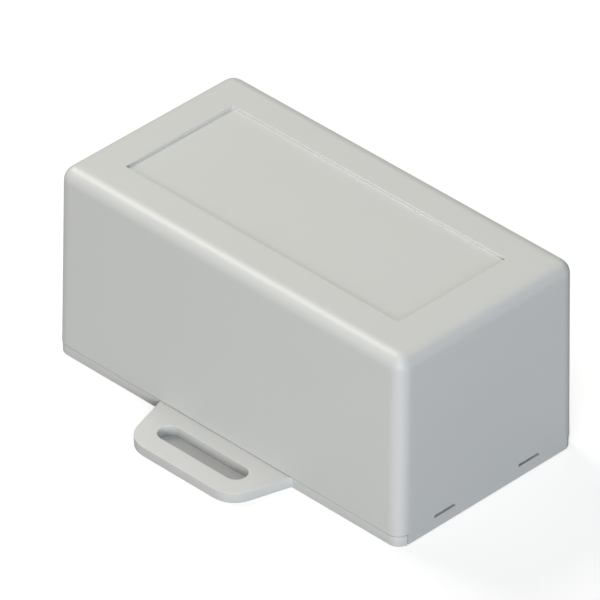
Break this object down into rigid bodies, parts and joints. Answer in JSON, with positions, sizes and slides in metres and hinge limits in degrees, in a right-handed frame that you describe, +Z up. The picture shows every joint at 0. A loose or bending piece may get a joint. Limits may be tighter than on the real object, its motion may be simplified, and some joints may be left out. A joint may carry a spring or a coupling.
{
  "type": "plastic project box",
  "caption": "Rectangular snap-together plastic enclosure with a recessed label panel on top and a base plate whose slotted lugs take mounting screws.",
  "frame": {"origin": "on the resting plane, under the middle of the box", "axes": "+X along the box, +Y across it towards a screw lug, +Z up through the top"},
  "size_m": [0.08, 0.0642, 0.0372],
  "materials": {
    "cover_plastic": "fine-textured light grey moulded ABS",
    "base_plastic": "fine-textured light grey moulded ABS"
  },
  "bodies": {
    "base": {"base": "base_plastic"},
    "cover": {"cover": "cover_plastic"}
  },
  "joints": [
    {"name": "cover_lift", "type": "slide", "parent": "base", "child": "cover", "axis": [0, 0, 1], "range_m": [0, 0.045]}
  ]
}
